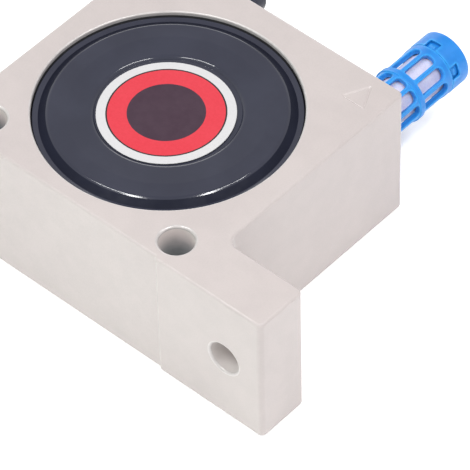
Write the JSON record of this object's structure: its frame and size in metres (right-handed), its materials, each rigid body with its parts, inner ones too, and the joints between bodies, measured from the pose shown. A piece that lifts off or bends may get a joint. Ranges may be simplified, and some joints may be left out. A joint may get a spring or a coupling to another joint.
{
  "type": "pneumatic ball vibrator",
  "caption": "Flanged aluminium block in which compressed air drives a steel ball round two raceways, with a push-in air inlet and a slotted exhaust silencer, to shake a hopper.",
  "frame": {"origin": "middle of the footprint of the block lying on its rear face, with the silencer and the inlet fitting counted in", "axes": "+X along the mounting base, +Y from the base to the port face, +Z along the chamber's axis from the rear face to the front face"},
  "size_m": [0.16, 0.14, 0.05],
  "materials": {
    "housing_paint": "fine satin light-grey paint on cast aluminium",
    "cover_plastic": "moulded black plastic, half gloss",
    "seal_rubber": "matt black rubber",
    "raceway_steel": "hardened and ground",
    "ball_steel": "polished",
    "label_film": "printed film, satin",
    "nickel_plate": "nickel-plated brass, half bright",
    "fitting_plastic": "moulded black plastic",
    "spring_steel": "stamped stainless spring steel",
    "silencer_plastic": "moulded blue plastic, satin",
    "porous_plastic": "white sintered plastic, matt"
  },
  "bodies": {
    "block": {"housing": "housing_paint", "front_cover": "cover_plastic", "rear_cover": "cover_plastic", "front_cover_seal": "seal_rubber", "rear_cover_seal": "seal_rubber", "front_raceway": "raceway_steel", "rear_raceway": "raceway_steel", "front_label": "label_film", "inlet_stem": "nickel_plate", "inlet_seal": "seal_rubber", "inlet_sleeve": "fitting_plastic", "tube_seal": "seal_rubber", "grab_ring": "spring_steel", "collar_guide": "nickel_plate", "silencer_body": "silencer_plastic", "silencer_seal": "seal_rubber", "silencer_cap": "silencer_plastic", "silencer_element": "porous_plastic"},
    "ball": {"ball": "ball_steel"},
    "release_collar": {"release_collar": "fitting_plastic"}
  },
  "joints": [
    {"name": "ball_orbit", "type": "hinge", "parent": "block", "child": "ball", "pos_m": [0, -0.022, 0.025], "axis": [0, 0, 1], "continuous": true},
    {"name": "collar_press", "type": "slide", "parent": "block", "child": "release_collar", "axis": [0, -1, 0], "range_m": [0, 0.0015], "stiffness_N_per_m": 500, "springref_m": -0.0005}
  ]
}
